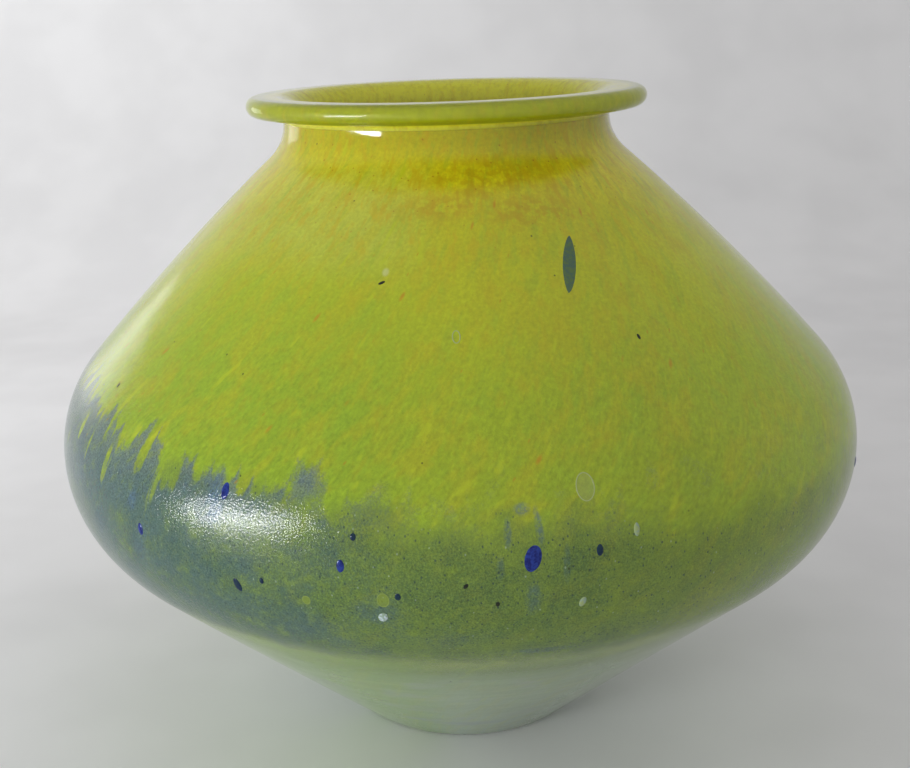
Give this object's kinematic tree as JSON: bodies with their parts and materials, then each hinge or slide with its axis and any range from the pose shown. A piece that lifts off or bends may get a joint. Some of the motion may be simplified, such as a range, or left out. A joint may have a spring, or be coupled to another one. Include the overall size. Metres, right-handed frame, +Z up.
{
  "type": "art glass vase",
  "caption": "Wide double-cone blown glass vase with a small foot, short neck and flared rounded lip, in cased lime and blue glass.",
  "frame": {"origin": "middle of the foot's flat face, on the table", "axes": "+Z up along the axis of revolution, -Y towards the side with the large cobalt chip, +X to its right"},
  "size_m": [0.2355, 0.2356, 0.19],
  "materials": {
    "base_glass": "gloss",
    "gather_glass": "gloss",
    "coat_glass": "gloss",
    "band_glass": "gloss",
    "casing_glass": "gloss",
    "lip_glass": "gloss",
    "cobalt_glass": "gloss",
    "navy_glass": "gloss",
    "opal_glass": "gloss",
    "speck_glass": "gloss",
    "fleck_glass": "gloss"
  },
  "bodies": {
    "root": {"base_pad": "base_glass", "inner_gather": "gather_glass", "colour_coat": "coat_glass", "blue_band": "band_glass", "outer_casing": "casing_glass", "lip": "lip_glass", "cobalt_chips": "cobalt_glass", "navy_chips": "navy_glass", "opal_chips": "opal_glass", "dark_specks": "speck_glass", "leaf_fleck": "fleck_glass"}
  },
  "joints": []
}
